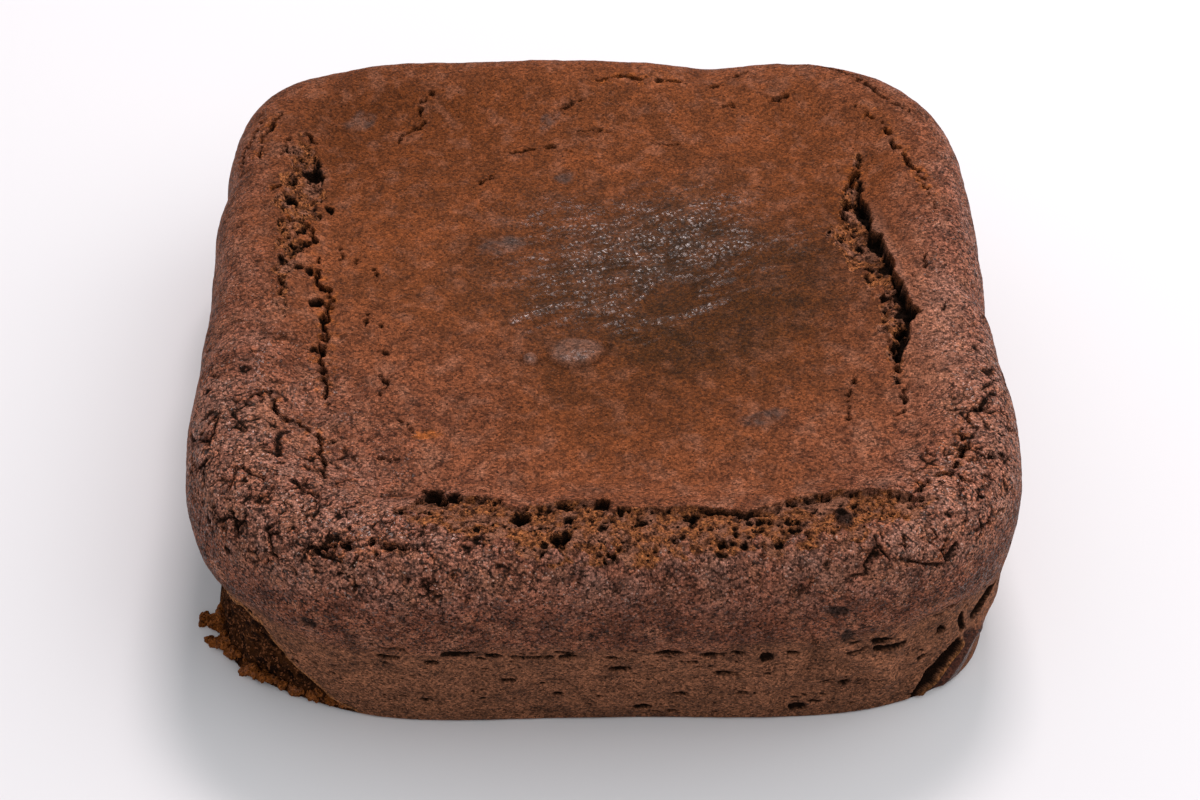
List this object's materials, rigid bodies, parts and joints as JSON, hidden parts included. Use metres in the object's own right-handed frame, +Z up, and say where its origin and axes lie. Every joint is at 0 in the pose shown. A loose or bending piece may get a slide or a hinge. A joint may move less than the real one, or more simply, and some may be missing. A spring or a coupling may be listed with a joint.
{
  "type": "gingerbread cake",
  "caption": "Whole square gingerbread cake turned out of its tin: domed rim around a sunken sticky top, torn crust along the edges, waisted side under a soft lip, flat base",
  "frame": {"origin": "centre of the bounding box in plan, on the flat base that the cake rests on", "axes": "+Z up through the top of the cake, +X to the right and -Y to the front as seen in the picture"},
  "size_m": [0.2068, 0.2042, 0.0625],
  "materials": {
    "gingerbread": "dark baked crumb crust, dry and fine-grained at the rim, slightly sticky in the middle"
  },
  "bodies": {
    "root": {"cake": "gingerbread"}
  },
  "joints": []
}
